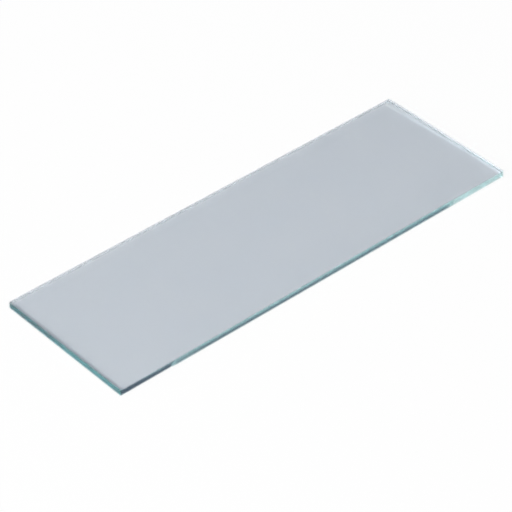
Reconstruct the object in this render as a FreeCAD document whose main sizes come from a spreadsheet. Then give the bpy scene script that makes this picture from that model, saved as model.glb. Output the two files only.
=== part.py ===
"""Plain glass microscope slide: one flat strip of drawn glass with cut and seamed edges.

Frame: +X along the length, +Y across the width, +Z up through the thickness.
The origin is the middle of the underside, the face that lies on a bench or stage.
All sizes are in millimetres.
"""
import FreeCAD, Part
import Sketcher
import os

PARTS_FOLDER = "parts"
SAME_PLACE = 1e-6  # coordinates closer than this are the same

# Driving sizes: alias in the sheet, value, what it is.
SIZES = [
    ("slide_length", 75.0, "length of the strip, between its short cut edges"),
    ("slide_width", 25.0, "width of the strip, between its long cut edges"),
    ("slide_thickness", 1.0, "thickness of the drawn glass"),
    ("corner_nip", 0.1, "leg of the 45 degree nip that takes the point off each corner"),
    ("arris_leg", 0.05, "leg of the 45 degree seam along the rim of both faces"),
]

# Sketcher's numbers for the two ends of a line, and for the sketch's own origin.
LINE_START = 1
LINE_END = 2
SKETCH_ORIGIN = (-1, 1)


def add_sheet(document):
    """Spreadsheet of the driving sizes, one row each: name, value and note."""
    sheet = document.addObject("Spreadsheet::Sheet", "Sizes")
    for row, (alias, value, note) in enumerate(SIZES, start=1):
        sheet.set(f"A{row}", alias)
        sheet.set(f"B{row}", str(value))
        sheet.set(f"C{row}", note)
        sheet.setAlias(f"B{row}", alias)
    document.recompute()
    return sheet


def origin_plane(body, role):
    """The body's own origin plane with this role, such as XY_Plane."""
    return next(plane for plane in body.Origin.OriginFeatures if plane.Role == role)


def add_outline(body, sheet):
    """Sketch of the strip seen from above: a rectangle centred on the origin."""
    sketch = body.newObject("Sketcher::SketchObject", "StripOutline")
    sketch.AttachmentSupport = [(origin_plane(body, "XY_Plane"), "")]
    sketch.MapMode = "FlatFace"

    half_length = sheet.slide_length / 2
    half_width = sheet.slide_width / 2
    corners = [
        FreeCAD.Vector(-half_length, -half_width, 0),
        FreeCAD.Vector(half_length, -half_width, 0),
        FreeCAD.Vector(half_length, half_width, 0),
        FreeCAD.Vector(-half_length, half_width, 0),
    ]
    near, right, far, left = range(4)
    for side, corner in enumerate(corners):
        following = corners[(side + 1) % 4]
        sketch.addGeometry(Part.LineSegment(corner, following), False)

    def constrain(*terms):
        return sketch.addConstraint(Sketcher.Constraint(*terms))

    for side in (near, right, far, left):
        constrain("Coincident", side, LINE_END, (side + 1) % 4, LINE_START)
    for side in (near, far):
        constrain("Horizontal", side)
    for side in (right, left):
        constrain("Vertical", side)
    constrain("Symmetric", near, LINE_START, far, LINE_START, *SKETCH_ORIGIN)

    length = constrain("DistanceX", near, LINE_START, near, LINE_END, sheet.slide_length)
    width = constrain("DistanceY", right, LINE_START, right, LINE_END, sheet.slide_width)
    sketch.setExpression(f"Constraints[{length}]", "Sizes.slide_length")
    sketch.setExpression(f"Constraints[{width}]", "Sizes.slide_width")
    return sketch


def add_blank(body, outline):
    """The strip as it is snapped off the glass sheet, standing up from the underside."""
    blank = body.newObject("PartDesign::Pad", "Blank")
    blank.Profile = outline
    blank.setExpression("Length", "Sizes.slide_thickness")
    return blank


def edge_names(shape, wanted):
    """Names of the straight edges whose two end points satisfy wanted(first, second)."""
    names = []
    for number, edge in enumerate(shape.Edges, start=1):
        first = edge.Vertexes[0].Point
        second = edge.Vertexes[-1].Point
        if wanted(first, second):
            names.append(f"Edge{number}")
    return names


def stands_upright(first, second):
    """True for an edge that runs straight up from one face to the other."""
    same_x = abs(first.x - second.x) < SAME_PLACE
    same_y = abs(first.y - second.y) < SAME_PLACE
    return same_x and same_y


def lies_flat(first, second):
    """True for an edge in the rim of the top or bottom face."""
    return abs(first.z - second.z) < SAME_PLACE


def add_chamfer(body, base, name, wanted, size_name):
    """45 degree chamfer on the wanted edges of the base feature, bound to a size of the sheet."""
    chamfer = body.newObject("PartDesign::Chamfer", name)
    chamfer.Base = (base, edge_names(base.Shape, wanted))
    chamfer.setExpression("Size", f"Sizes.{size_name}")
    return chamfer


def add_slide(document, sheet):
    """The slide: the strip, its corners nipped off, then the rim of both faces seamed."""
    body = document.addObject("PartDesign::Body", "Slide")
    body.Label = "slide"
    body.Placement = FreeCAD.Placement()
    blank = add_blank(body, add_outline(body, sheet))
    document.recompute()
    nipped = add_chamfer(body, blank, "CornerNips", stands_upright, "corner_nip")
    document.recompute()
    add_chamfer(body, nipped, "Arris", lies_flat, "arris_leg")
    return body


def check_document(document, bodies):
    """Raise an error if a feature failed or a body isn't one sound solid."""
    for feature in document.Objects:
        for fault in ("Invalid", "Error"):
            if fault in feature.State:
                raise RuntimeError(f"{feature.Name} is {fault}")
    for body in bodies:
        shape = body.Shape
        if shape.isNull() or not shape.isValid():
            raise RuntimeError(f"{body.Label} has no valid shape")
        if len(shape.Solids) != 1:
            raise RuntimeError(f"{body.Label} isn't one solid")


def write_parts(bodies):
    """One STEP file for each body, named after its label."""
    os.makedirs(PARTS_FOLDER, exist_ok=True)
    for body in bodies:
        body.Shape.exportStep(os.path.join(PARTS_FOLDER, f"{body.Label}.step"))


document = FreeCAD.newDocument("MicroscopeSlide")
bodies = [add_slide(document, add_sheet(document))]
document.recompute()
check_document(document, bodies)
write_parts(bodies)
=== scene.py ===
"""Plain glass microscope slide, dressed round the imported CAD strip.

Everything is in metres in the CAD frame: +X along the length, +Y across the width, +Z up.
"""
import math

import bpy
import numpy as np
from mathutils import Matrix, Vector


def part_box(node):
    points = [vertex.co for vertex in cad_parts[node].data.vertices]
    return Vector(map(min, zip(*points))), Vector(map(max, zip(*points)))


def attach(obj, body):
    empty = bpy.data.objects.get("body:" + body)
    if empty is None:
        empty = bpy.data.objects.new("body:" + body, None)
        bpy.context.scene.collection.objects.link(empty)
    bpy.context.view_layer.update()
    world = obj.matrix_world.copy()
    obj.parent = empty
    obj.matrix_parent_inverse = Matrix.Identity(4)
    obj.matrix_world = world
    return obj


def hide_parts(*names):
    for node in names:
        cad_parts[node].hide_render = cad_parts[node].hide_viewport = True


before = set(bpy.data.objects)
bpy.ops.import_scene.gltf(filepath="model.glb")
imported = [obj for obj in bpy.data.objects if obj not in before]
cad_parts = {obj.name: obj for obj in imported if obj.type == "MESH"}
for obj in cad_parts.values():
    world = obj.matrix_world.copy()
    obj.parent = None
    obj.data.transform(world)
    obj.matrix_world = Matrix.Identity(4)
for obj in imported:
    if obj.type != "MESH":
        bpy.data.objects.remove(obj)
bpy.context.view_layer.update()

scene = bpy.context.scene
scene.view_settings.view_transform = "Standard"


# --- The glass strip ------------------------------------------------------------------------------
# One solid strip of clear drawn soda-lime glass, scored on the sheet and snapped off it. Its two faces
# are as bright as they left the furnace. Its four narrow sides are the break itself: they lean where
# the crack ran off square, they ripple, and their rims are seamed.

MM = 0.001

slide_low, slide_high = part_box("slide")
length, width, thickness = slide_high - slide_low
middle = (slide_low + slide_high) / 2

corner_nip = 0.10 * MM
arris_leg = 0.02 * MM
# Steps round the strip, rows up each break, and rows in along the underside with their step.
station_step = 0.15 * MM
wall_rows = 12
underside_rows = 3
rim_step = 0.02 * MM

# Lean of each break in degrees along its run. Above zero the foot stands back under the top rim,
# and below zero the top rim stands back over the foot. Places are shares of the run, from -X or -Y.
front_places = (0.0, 0.05, 0.120, 0.134, 0.18, 0.35, 0.50, 0.70, 0.83, 1.0)
front_leans = (6.2, 6.6, 6.6, 0.2, 0.2, -0.1, -0.7, -1.5, -2.0, -1.0)
back_places = (0.0, 1.0)
back_leans = (0.0, 0.0)
left_places = (0.0, 1.0)
left_leans = (0.3, -0.3)
right_places = (0.0, 0.30, 0.38, 0.46, 0.54, 0.62, 0.71, 0.80, 0.88, 1.0)
right_leans = (-4.4, -4.2, -3.0, -2.4, -1.2, 0.4, 1.9, 2.6, 3.3, 4.2)

# Snapping the strip off also lifted one long shallow flake from the underside, beside the right
# break. Its scar runs the whole break, and draws away from it towards +Y. Insets are from the break.
flake_places = (0.0, 0.30, 0.40, 0.50, 0.75, 1.0)
flake_near = np.array((0.03, 0.10, 0.20, 0.26, 0.36, 0.52)) * MM
flake_far = np.array((0.52, 0.52, 0.66, 0.64, 0.90, 1.10)) * MM
flake_depth = np.array((0.020, 0.020, 0.020, 0.020, 0.022, 0.032)) * MM
flake_end = 0.02

# Under the left end the underside has three bands, from the inside outwards, that carry painted
# shadow: a heavier grey tint for the shade along the inside of the left break.
shadow_band_insets = np.array((1.3, 0.9, 0.4)) * MM

# Ripple of the breaks: how steep it usually gets, in degrees, its wave lengths, how many waves are
# summed, how far in radians they slant, and the seed of each break's own draw.
ripple_slope = 0.4
ripple_lengths = (0.7 * MM, 3.0 * MM)
ripple_count = 14
ripple_slant = 0.6
front_seed, back_seed, left_seed, right_seed = 3, 5, 7, 11


def share_outline():
    """Stations round the strip as shares of its length and width, counter-clockwise from above.

    Each of the four runs is a straight line between two nipped corners, cut into equal steps, and
    each nip is one straight step across the corner.
    """
    nip_x = corner_nip / length
    nip_y = corner_nip / width
    corners = np.array([
        (nip_x, 0), (1 - nip_x, 0), (1, nip_y), (1, 1 - nip_y),
        (1 - nip_x, 1), (nip_x, 1), (0, 1 - nip_y), (0, nip_y),
    ])
    steps = [round(length / station_step), 1, round(width / station_step), 1] * 2
    runs = [
        start + (end - start) * (np.arange(count) / count)[:, None]
        for start, end, count in zip(corners, np.roll(corners, -1, axis=0), steps)
    ]
    return np.concatenate(runs)


def lean_depth(share, height, places, leans):
    """Depth of a leaning break: the lean's tangent times the distance from the rim that stands out.

    The lean at a share of the run is a straight-line reading between the listed places.
    """
    slope = np.tan(np.radians(np.interp(share, places, leans)))
    return np.where(slope > 0, (thickness - height) * slope, -height * slope)


def ripple_depth(along, height, seed):
    """Depth of the ripple a running crack leaves: a sum of slanting sine waves with seeded phases.

    Each wave's height is its length times the ripple slope over two pi and the root of their number,
    and the whole is lifted by the sum of the heights so that it only ever cuts inwards.
    """
    rng = np.random.default_rng(seed)
    waves = rng.uniform(*ripple_lengths, ripple_count)
    turns = rng.uniform(-ripple_slant, ripple_slant, ripple_count)
    phases = rng.uniform(0, 2 * math.pi, ripple_count)
    heights = waves * math.radians(ripple_slope) / (2 * math.pi) / math.sqrt(ripple_count)
    run = along[..., None] * np.cos(turns) + height[..., None] * np.sin(turns)
    return (heights * (1 + np.sin(2 * math.pi * run / waves + phases))).sum(axis=-1)


def side_profile(count):
    """Inset and height of each row, from the underside outwards and then up.

    The rows are the underside's, one rim step apart, then the foot of the arris, even rows up the
    wall between the two seams, and the head of the arris.
    """
    rise = np.linspace(arris_leg, thickness - arris_leg, count)
    underside_inset = arris_leg + rim_step * np.arange(underside_rows, 0, -1)
    inset = np.concatenate([underside_inset, [arris_leg], np.zeros(count), [arris_leg]])
    height = np.concatenate([np.zeros(underside_rows + 1), rise, [thickness]])
    return inset, height


def flake_scar(share_x, share_y):
    """Insets of the three underside rows beside the right break, and the rise of the middle one.

    The scar is a shallow vee between two lines. The outer rows follow the listed insets and the
    middle row runs halfway between them. It rises by the flake's depth along the break alone, and
    runs out to nothing at both its ends.
    """
    near = np.interp(share_y, flake_places, flake_near)
    far = np.interp(share_y, flake_places, flake_far)
    ramp = np.interp(share_y, (0, flake_end, 1 - flake_end, 1), (0, 1, 1, 0))
    rise = np.where(share_x == 1, np.interp(share_y, flake_places, flake_depth) * ramp, 0.0)
    return np.stack([far, (near + far) / 2, near]), rise


def strip_surface(shares):
    """Points of the side, rows by stations: the share outline stretched between the four breaks.

    At each row and station the reach along X runs from the left break to the right break, and the
    reach along Y from the front break to the back break. Each end is taken in by its own lean, its
    own ripple and the row's inset.
    """
    inset, height = side_profile(wall_rows)
    inset = inset[:, None] + np.zeros(len(shares))
    height = height[:, None] + np.zeros(len(shares))
    left_inset = inset.copy()
    left_inset[:underside_rows] = shadow_band_insets[:, None]
    right_inset = inset.copy()
    right_inset[:underside_rows], scar_rise = flake_scar(shares[:, 0], shares[:, 1])
    share_x = shares[None, :, 0]
    share_y = shares[None, :, 1]
    along_x = share_x * length + np.zeros_like(height)
    along_y = share_y * width + np.zeros_like(height)
    front = lean_depth(share_x, height, front_places, front_leans)
    front = front + ripple_depth(along_x, height, front_seed)
    back = lean_depth(share_x, height, back_places, back_leans)
    back = back + ripple_depth(along_x, height, back_seed)
    left = lean_depth(share_y, height, left_places, left_leans)
    left = left + ripple_depth(along_y, height, left_seed)
    right = lean_depth(share_y, height, right_places, right_leans)
    right = right + ripple_depth(along_y, height, right_seed)
    x_low = slide_low.x + left + left_inset
    x_high = slide_high.x - right - right_inset
    y_low = slide_low.y + front + inset
    y_high = slide_high.y - back - inset
    x = x_low + (x_high - x_low) * share_x
    y = y_low + (y_high - y_low) * share_y
    height[1] += scar_rise
    return np.stack([x, y, slide_low.z + height], axis=-1)


shares = share_outline()
points = strip_surface(shares)
rows, stations = points.shape[:2]
index = np.arange(rows * stations).reshape(rows, stations)
onward = np.roll(index, -1, axis=1)
side_quads = np.stack([index[:-1], onward[:-1], onward[1:], index[1:]], axis=-1).reshape(-1, 4)
underside = index[0, ::-1]
top_face = index[-1]
facet_corners = [*side_quads.tolist(), underside.tolist(), top_face.tolist()]
sharp_turn = math.radians(3)

strip_mesh = bpy.data.meshes.new("glass_strip")
strip_mesh.from_pydata(points.reshape(-1, 3).tolist(), [], facet_corners)
strip_mesh.update()
strip_mesh.shade_smooth()
strip_mesh.set_sharp_from_angle(angle=sharp_turn)

# Four numbers go with each facet for the glass to read.
# Frosting: how rough the break is. Hackle, the fine tearing beside a crack that ran fast, frosts the
# front side and, less, the two short sides. Places are shares of the length from -X.
front_frost_places = (0.0, 0.05, 0.062, 0.116, 0.124, 0.15, 0.20, 0.84, 0.855, 1.0)
front_frost = (0.0, 0.0, 0.07, 0.07, 0.19, 0.19, 0.14, 0.14, 0.12, 0.12)
left_frost = 0.10
right_frost = 0.05
# Painted shade: how much grey tint lies there. It is even on both faces and heavier in the painted
# shadow bands under the left end.
face_shade = 0.6
shadow_band_shade = np.array((0.72, 0.90, 0.90))[:, None]
# Painted highlight: how much lighter, bluer tint lies there. It is on the right break and its scar,
# less and less over the last fifth.
highlight_fade_from = 0.8
# Clearness: how much of the glass is left clear. The last stretch of the front side is crushed.
crushed_from = 0.855
crushed_part = 0.20

# The upright part of a facet's normal tells what it is: a face above the first number, a break below
# the second, and an arris between them. The second also tells which way a facet looks.
level_facet = 0.95
break_facet = 0.5

facets = len(strip_mesh.polygons)
normals = np.empty(facets * 3)
strip_mesh.polygons.foreach_get("normal", normals)
normals = normals.reshape(-1, 3)
centres = np.empty(facets * 3)
strip_mesh.polygons.foreach_get("center", centres)
centres = centres.reshape(-1, 3)

flatness = np.abs(normals[:, 2])
along = (centres[:, 0] - slide_low.x) / length
on_front = normals[:, 1] < -break_facet
on_left = normals[:, 0] < -break_facet
on_right = normals[:, 0] > break_facet
frosting = np.where(on_front, np.interp(along, front_frost_places, front_frost), 0.0)
frosting = np.where(on_left, left_frost, frosting)
frosting = np.where(on_right, right_frost, frosting)
frosting = np.where(flatness > break_facet, 0.0, frosting)


def facet_values(side_values, face_value):
    """One value for each facet: the side's row by row, then the same one for the two broad faces."""
    return np.concatenate([side_values.ravel(), [face_value, face_value]])


following = np.roll(shares[:, 0], -1)
beside_right = (shares[:, 0] == 1) & (following == 1)
beside_left = (shares[:, 0] == 0) & (following == 0)
# The scar takes no painted shade, so it shows as a painted highlight along the right break.
scar = np.zeros((rows - 1, stations), dtype=bool)
scar[:underside_rows - 1] = beside_right
scar = facet_values(scar, False)
# Painted shadow: the bands under the left end take heavier painted shade than the faces.
shade_amounts = np.full((rows - 1, stations), face_shade)
shade_amounts[:underside_rows] = np.where(beside_left, shadow_band_shade, face_shade)
shade_amounts = facet_values(shade_amounts, face_shade)
painted_shade = np.where((flatness > level_facet) & ~scar, shade_amounts, 0.0)
# Painted highlight on the right break and its scar, fading out over the last fifth.
fade_start = slide_low.y + highlight_fade_from * width
fade = np.interp(centres[:, 1], (fade_start, slide_high.y), (1.0, 0.0))
painted_highlight = np.where(scar | (on_right & (flatness < break_facet)), fade, 0.0)
clearness = np.where(on_front & (along > crushed_from), 1 - crushed_part, 1.0)

facet_numbers = {"painted_shade": painted_shade, "painted_highlight": painted_highlight, "clearness": clearness, "frosting": frosting}
for name, values in facet_numbers.items():
    strip_mesh.attributes.new(name, "FLOAT", "FACE").data.foreach_set("value", values)

glass_strip = bpy.data.objects.new("glass_strip", strip_mesh)
scene.collection.objects.link(glass_strip)


def linear(hex_colour):
    """sRGB hex to linear.

    A channel up to 0.04045 is divided by 12.92, and a higher one is ((c + 0.055) / 1.055) to the 2.4.
    """
    channels = np.array([int(hex_colour[i:i + 2], 16) for i in (1, 3, 5)]) / 255
    curved = ((channels + 0.055) / 1.055) ** 2.4
    return (*np.where(channels <= 0.04045, channels / 12.92, curved), 1.0)


def add_node(material_tree, kind, settings=None, links=None):
    """Adds a node. Settings are its properties or socket values, and links are what feeds a socket.

    A socket goes by its name, or by its number where several share a name.
    """
    node = material_tree.nodes.new(kind)
    for name, value in (settings or {}).items():
        if isinstance(name, int) or name in node.inputs:
            node.inputs[name].default_value = value
        else:
            setattr(node, name, value)
    for name, source in (links or {}).items():
        material_tree.links.new(source, node.inputs[name])
    return node


def bare_material(name):
    """A node material emptied of its nodes, and its tree."""
    material = bpy.data.materials.new(name)
    material.use_nodes = True
    material.node_tree.nodes.clear()
    return material, material.node_tree


# Drawn soda-lime glass, index 1.52. It is clear across its thickness. Its two faces carry painted
# shade: a cool grey tint, uneven in patches, stands in for the shade that greys what lies under them a
# little. It is sea-green along its length, where iron in the melt takes the red out of light that
# travels inside. The right break and its scar carry a painted highlight instead: no grey, and a shade
# bluer. Where the edge is crushed it is partly a white powder.

glass_index = 1.52
# Painted shade on the faces: a grey tint and a paler one, blended in patches.
painted_shade_tint, paler_shade_tint = "#CCD2DB", "#D5D9E0"
# Painted highlight: a lighter, bluer tint on the right break and the scar beside it.
painted_highlight_tint = "#F3F9FF"
untinted = (1.0, 1.0, 1.0, 1.0)
shade_patch_length = 8 * MM
shade_patch_detail = 2.0
# How strongly the glass absorbs each colour, as Beer's coefficient per metre.
red_lost, green_lost, blue_lost = 22.0, 7.2, 6.7

# Sockets of a Mix node that blends colours, by number.
MIX_SHARE, MIX_FIRST, MIX_SECOND, MIX_RESULT = 0, 6, 7, 2

drawn_glass, tree = bare_material("drawn_soda_lime_glass")
painted_shade_share = add_node(tree, "ShaderNodeAttribute", {"attribute_name": "painted_shade"})
painted_highlight_share = add_node(tree, "ShaderNodeAttribute", {"attribute_name": "painted_highlight"})
clear = add_node(tree, "ShaderNodeAttribute", {"attribute_name": "clearness"})
hackle = add_node(tree, "ShaderNodeAttribute", {"attribute_name": "frosting"})
place = add_node(tree, "ShaderNodeTexCoord")
shade_patches = add_node(
    tree, "ShaderNodeTexNoise",
    {"Scale": 1 / shade_patch_length, "Detail": shade_patch_detail},
    {"Vector": place.outputs["Object"]},
)
# The painted shade's colour, uneven in patches.
painted_shade_colour = add_node(
    tree, "ShaderNodeMix",
    {"data_type": "RGBA", MIX_FIRST: linear(painted_shade_tint), MIX_SECOND: linear(paler_shade_tint)},
    {MIX_SHARE: shade_patches.outputs["Fac"]},
)
# The painted highlight's colour.
painted_highlight_colour = add_node(
    tree, "ShaderNodeMix",
    {"data_type": "RGBA", MIX_FIRST: untinted, MIX_SECOND: linear(painted_highlight_tint)},
    {MIX_SHARE: painted_highlight_share.outputs["Fac"]},
)
tint = add_node(tree, "ShaderNodeMix", {"data_type": "RGBA"}, {
    MIX_SHARE: painted_shade_share.outputs["Fac"],
    MIX_FIRST: painted_highlight_colour.outputs[MIX_RESULT],
    MIX_SECOND: painted_shade_colour.outputs[MIX_RESULT],
})
shader = add_node(tree, "ShaderNodeBsdfPrincipled", {"IOR": glass_index}, {
    "Base Color": tint.outputs[MIX_RESULT],
    "Roughness": hackle.outputs["Fac"],
    "Transmission Weight": clear.outputs["Fac"],
})
# The volume loses its density times one less its colour, so the density is the loss of red.
body_colour = (0.0, 1 - green_lost / red_lost, 1 - blue_lost / red_lost, 1.0)
absorption = add_node(tree, "ShaderNodeVolumeAbsorption", {"Color": body_colour, "Density": red_lost})
add_node(tree, "ShaderNodeOutputMaterial", None, {
    "Surface": shader.outputs["BSDF"],
    "Volume": absorption.outputs["Volume"],
})
strip_mesh.materials.append(drawn_glass)

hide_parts("slide")
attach(glass_strip, "root")


# --- The table top --------------------------------------------------------------------------------
# A matt white laminate top, far wider than the strip, that the strip lies on.
# A dry slide rests on grains of dust, so the table is clear of it by the height of one.

table_half = 2.0
dust_gap = 0.07 * MM
table_white = "#FCFCFC"
white_for_camera = 0.93
white_for_glass = 0.2

table_corners = np.array([(-1, -1), (1, -1), (1, 1), (-1, 1)]) * table_half
table_heights = np.full(len(table_corners), slide_low.z - dust_gap)
table_points = np.column_stack([table_corners, table_heights])
table_mesh = bpy.data.meshes.new("table_top")
table_mesh.from_pydata(table_points.tolist(), [], [(0, 1, 2, 3)])
table_top = bpy.data.objects.new("table_top", table_mesh)
scene.collection.objects.link(table_top)


def whitened(material_tree, plain, camera_part, glass_part):
    """Mixes a plain shader with white light: by camera_part for the camera's own rays, by glass_part
    for rays that come out of gloss or glass, and not at all for the rays that carry light and shade.
    """
    path = add_node(material_tree, "ShaderNodeLightPath")
    off_glass = add_node(material_tree, "ShaderNodeMath", {"operation": "MAXIMUM"}, {
        0: path.outputs["Is Glossy Ray"],
        1: path.outputs["Is Transmission Ray"],
    })
    for_glass = add_node(
        material_tree, "ShaderNodeMath",
        {"operation": "MULTIPLY", 1: glass_part},
        {0: off_glass.outputs[0]},
    )
    share = add_node(
        material_tree, "ShaderNodeMath",
        {"operation": "MULTIPLY_ADD", 1: camera_part},
        {0: path.outputs["Is Camera Ray"], 2: for_glass.outputs[0]},
    )
    white = add_node(material_tree, "ShaderNodeEmission", {"Strength": 1.0})
    blend = add_node(material_tree, "ShaderNodeMixShader", None, {
        0: share.outputs[0],
        1: plain,
        2: white.outputs[0],
    })
    return blend.outputs[0]


# Matt white laminate: no gloss, so the strip's own edges are all that shines.
laminate, tree = bare_material("matt_white_laminate")
shader = add_node(tree, "ShaderNodeBsdfDiffuse", {"Color": linear(table_white)})
whitened_laminate = whitened(tree, shader.outputs["BSDF"], white_for_camera, white_for_glass)
add_node(tree, "ShaderNodeOutputMaterial", None, {"Surface": whitened_laminate})
table_mesh.materials.append(laminate)


# --- The light ------------------------------------------------------------------------------------
# A pale room, one wide soft box low on the left, and a dark card hung behind the strip.
# The card is what gives the front side its dark end: clear glass has no dark of its own.

room_strength = 0.53
room_for_camera = 1.0
room_for_glass = 0.2

room = bpy.data.worlds.new("pale_room")
scene.world = room
room.use_nodes = True
tree = room.node_tree
tree.nodes.clear()
shader = add_node(tree, "ShaderNodeBackground", {"Strength": room_strength})
whitened_room = whitened(tree, shader.outputs["Background"], room_for_camera, room_for_glass)
add_node(tree, "ShaderNodeOutputWorld", None, {"Surface": whitened_room})


def towards(azimuth, elevation):
    """Unit vector to a point at an angle round from +X and an angle up from the table, in degrees."""
    azimuth, elevation = math.radians(azimuth), math.radians(elevation)
    return Vector((
        math.cos(elevation) * math.cos(azimuth),
        math.cos(elevation) * math.sin(azimuth),
        math.sin(elevation),
    ))


box_width = 1.14
box_height = 0.71
box_azimuth = 182
box_elevation = 28
box_distance = 1.0
box_watts = 13.5

box_lamp = bpy.data.lights.new("soft_box", "AREA")
box_lamp.shape = "RECTANGLE"
box_lamp.size = box_width
box_lamp.size_y = box_height
box_lamp.energy = box_watts
soft_box = bpy.data.objects.new("soft_box", box_lamp)
scene.collection.objects.link(soft_box)
soft_box.location = towards(box_azimuth, box_elevation) * box_distance
soft_box.rotation_mode = "QUATERNION"
soft_box.rotation_quaternion = soft_box.location.to_track_quat("Z", "Y")

card_distance = 1.0
card_azimuths = (20, 64)
card_elevations = (24, 54)
card_columns, card_rows = 25, 21
card_colour = "#0F3256"

# The card is bent like part of a ball round the strip: every point is card_distance away.
azimuth = np.radians(np.linspace(*card_azimuths, card_columns))[:, None]
elevation = np.radians(np.linspace(*card_elevations, card_rows))[None, :]
card_points = card_distance * np.stack([
    np.cos(elevation) * np.cos(azimuth),
    np.cos(elevation) * np.sin(azimuth),
    np.sin(elevation) + np.zeros_like(azimuth),
], axis=-1)
index = np.arange(card_points[..., 0].size).reshape(card_points.shape[:2])
card_quads = np.stack([index[:-1, :-1], index[:-1, 1:], index[1:, 1:], index[1:, :-1]], axis=-1)
card_mesh = bpy.data.meshes.new("dark_card")
card_mesh.from_pydata(card_points.reshape(-1, 3).tolist(), [], card_quads.reshape(-1, 4).tolist())
dark_card = bpy.data.objects.new("dark_card", card_mesh)
scene.collection.objects.link(dark_card)
dark_card.visible_camera = False

# Blue-black card stock, matt: it only shows in the glass, as the deep blue of the front side's end.
card_stock, tree = bare_material("blue_black_card_stock")
shader = add_node(tree, "ShaderNodeBsdfDiffuse", {"Color": linear(card_colour)})
add_node(tree, "ShaderNodeOutputMaterial", None, {"Surface": shader.outputs["BSDF"]})
card_mesh.materials.append(card_stock)

# Light bounces to and fro many times between the two faces before it leaves by an edge.
bounces = 128
scene.cycles.max_bounces = bounces
scene.cycles.glossy_bounces = bounces
scene.cycles.transmission_bounces = bounces
scene.cycles.blur_glossy = 0.0


# --- The camera -----------------------------------------------------------------------------------
# A long lens, some forty degrees above the table, that looks along the strip from its left front
# corner. The strip reaches from side to side of the frame and sits a little above its middle.

camera_azimuth = -132.06
camera_elevation = 39.05
camera_roll = math.radians(0.42)
camera_distance = 371.5 * MM
aim_left = 1.269 * MM
aim_down = 2.795 * MM
# The lens and its film are given in millimetres.
focal_length = 178.1
film_width = 36.0
nearest_seen = 10 * MM

lens = bpy.data.cameras.new("camera")
lens.sensor_width = film_width
lens.lens = focal_length
lens.clip_start = nearest_seen
camera = bpy.data.objects.new("camera", lens)
scene.collection.objects.link(camera)
scene.camera = camera

backward = towards(camera_azimuth, camera_elevation)
level = Vector((0, 0, 1)).cross(backward).normalized()
upright = backward.cross(level)
right = level * math.cos(camera_roll) + upright * math.sin(camera_roll)
up = upright * math.cos(camera_roll) - level * math.sin(camera_roll)
pose = Matrix((right, up, backward)).transposed().to_4x4()
pose.translation = middle - right * aim_left - up * aim_down + backward * camera_distance
camera.matrix_world = pose

# The lens draws every edge a shade soft.
scene.cycles.filter_width = 2.4
